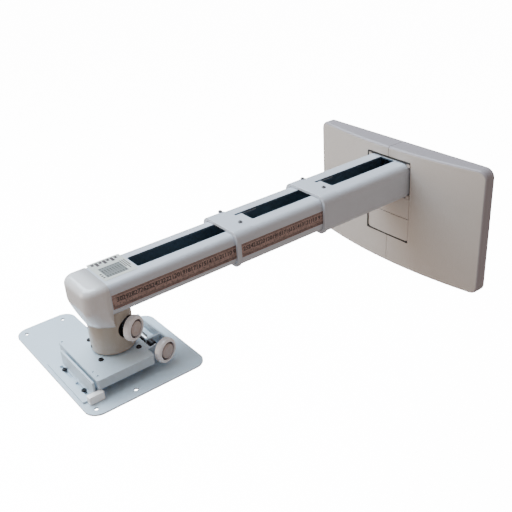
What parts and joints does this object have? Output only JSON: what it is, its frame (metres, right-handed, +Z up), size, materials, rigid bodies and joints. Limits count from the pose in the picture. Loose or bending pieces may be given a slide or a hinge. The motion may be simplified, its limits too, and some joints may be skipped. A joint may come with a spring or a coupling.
{
  "type": "telescopic projector wall arm",
  "caption": "Telescopic wall arm with bowed wall cover, length scales, a round column with fine-adjust knobs and a sliding plate that holds a short throw projector.",
  "frame": {"origin": "centre of the four wall holes on the wall plate's back face", "axes": "+Z up, +Y into the wall, the arm reaches out along -Y, +X is the side that carries the length scales"},
  "size_m": [0.42, 0.754, 0.248],
  "materials": {
    "zinc_steel": "zinc plated, satin",
    "dark_steel": "black oxide",
    "arm_paint": "satin white powder coat",
    "head_paint": "satin pale grey powder coat",
    "column_paint": "satin warm grey",
    "cover_plastic": "fine textured plastic",
    "cap_plastic": "satin moulded plastic",
    "knob_white": "moulded white",
    "knob_tan": "moulded warm grey",
    "gloss_white": "glossy white",
    "white_nylon": "natural nylon",
    "black_plastic": "black acetal",
    "black_screw": "black oxide",
    "scale_tape": "printed film",
    "label_film": "printed film"
  },
  "bodies": {
    "wall_unit": {"wall_plate": "zinc_steel", "arm_bracket": "zinc_steel", "bracket_bolts": "zinc_steel", "wall_cover_left": "cover_plastic", "wall_cover_right": "cover_plastic", "cover_filler_upper": "cover_plastic", "cover_filler_lower": "cover_plastic", "cover_studs": "white_nylon", "outer_tube": "arm_paint", "outer_collar": "arm_paint", "outer_collar_screws": "zinc_steel", "outer_front_pads": "white_nylon"},
    "middle_section": {"middle_tube": "arm_paint", "middle_collar": "arm_paint", "middle_collar_screws": "zinc_steel", "middle_front_pads": "white_nylon", "middle_rear_pads": "white_nylon", "middle_scale": "scale_tape"},
    "inner_section": {"inner_tube": "arm_paint", "inner_rear_pads": "white_nylon", "inner_scale": "scale_tape", "top_label": "label_film", "end_cap": "cap_plastic", "column_housing": "column_paint", "column_grub": "black_screw", "housing_screws": "zinc_steel", "thrust_washer": "white_nylon"},
    "yaw_stage": {"yaw_bolt": "zinc_steel", "upper_yoke": "dark_steel"},
    "tilt_cross": {"tilt_cross": "dark_steel"},
    "slide_base": {"lower_yoke": "dark_steel", "slide_plate": "head_paint", "guide_rods": "zinc_steel", "rod_clamps": "dark_steel", "slide_screws": "black_screw"},
    "projector_carriage": {"rod_bearings": "black_plastic", "lead_nut": "black_plastic", "projector_plate": "head_paint", "front_rail": "head_paint", "rail_screws": "black_screw", "rail_end_block": "gloss_white"},
    "tilt_knob": {"tilt_knob": "knob_white", "tilt_knob_cap": "knob_tan", "tilt_stem": "zinc_steel"},
    "shift_knob": {"shift_knob": "knob_white", "shift_knob_cap": "knob_tan", "shift_stem": "zinc_steel"},
    "lead_screw": {"lead_screw": "zinc_steel", "universal_joint": "dark_steel"}
  },
  "joints": [
    {"name": "middle_extend", "type": "slide", "parent": "wall_unit", "child": "middle_section", "axis": [0, 1, 0], "range_m": [0, 0.145]},
    {"name": "inner_extend", "type": "slide", "parent": "middle_section", "child": "inner_section", "axis": [0, 1, 0], "range_m": [0, 0.165]},
    {"name": "head_yaw", "type": "hinge", "parent": "inner_section", "child": "yaw_stage", "pos_m": [0, -0.657, 0], "axis": [0, 0, 1], "range_deg": [-15, 15]},
    {"name": "head_pitch", "type": "hinge", "parent": "yaw_stage", "child": "tilt_cross", "pos_m": [0, -0.657, 0], "axis": [1, 0, 0], "range_deg": [-2.5, 2.5]},
    {"name": "head_roll", "type": "hinge", "parent": "tilt_cross", "child": "slide_base", "pos_m": [0, -0.657, 0], "axis": [0, 1, 0], "range_deg": [-2.5, 2.5]},
    {"name": "side_shift", "type": "slide", "parent": "slide_base", "child": "projector_carriage", "axis": [1, 0, 0], "range_m": [-0.022, 0.006]},
    {"name": "tilt_knob_turn", "type": "hinge", "parent": "yaw_stage", "child": "tilt_knob", "pos_m": [0.03535, -0.64052, 0.007], "axis": [0.9063, 0.4226, 0], "range_deg": [-225, 225]},
    {"name": "shift_knob_turn", "type": "hinge", "parent": "slide_base", "child": "shift_knob", "pos_m": [0.0576, -0.6034, -0.04], "axis": [0.9511, 0.309, 0], "range_deg": [-2520, 2520]},
    {"name": "lead_screw_turn", "type": "hinge", "parent": "slide_base", "child": "lead_screw", "pos_m": [0, -0.60865, -0.04], "axis": [1, 0, 0], "range_deg": [-2520, 2520]}
  ],
  "couplings": [
    {"joint": "tilt_knob_turn", "follows": "head_pitch", "ratio": 90},
    {"joint": "shift_knob_turn", "follows": "side_shift", "rad_per_m": 1256.6},
    {"joint": "lead_screw_turn", "follows": "side_shift", "rad_per_m": 1256.6}
  ]
}
